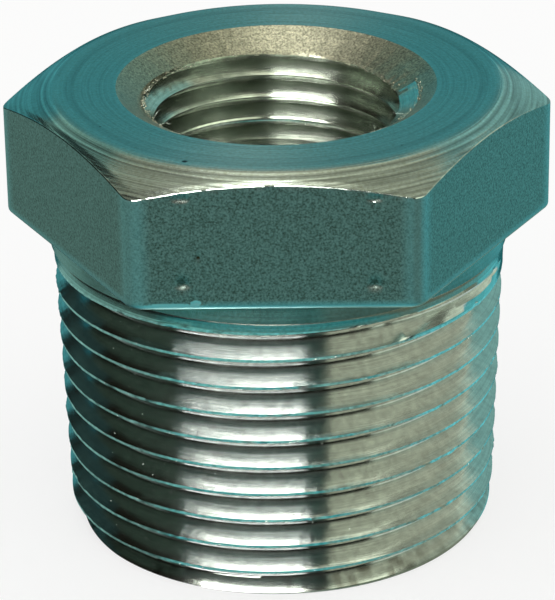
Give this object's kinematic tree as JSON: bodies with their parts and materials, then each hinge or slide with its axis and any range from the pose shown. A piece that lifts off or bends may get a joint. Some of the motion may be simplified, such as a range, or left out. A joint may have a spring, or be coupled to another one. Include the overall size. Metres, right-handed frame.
{
  "type": "hex reducing bushing",
  "caption": "Stainless steel hex reducing bushing: tapered male pipe thread outside, smaller female pipe thread through the hexagon head.",
  "frame": {"origin": "centre of the threaded end face, on the axis of the bore", "axes": "+Z along the axis, from the threaded end to the hexagon's face; two flats of the hexagon face +Y and -Y, and two of its corners point along +X and -X"},
  "size_m": [0.0408, 0.0356, 0.0344],
  "materials": {
    "stainless_steel": "cast stainless steel: satin blasted hexagon faces, turned top face, chamfer and collar, machined threads"
  },
  "bodies": {
    "root": {"hex_bushing": "stainless_steel"}
  },
  "joints": []
}
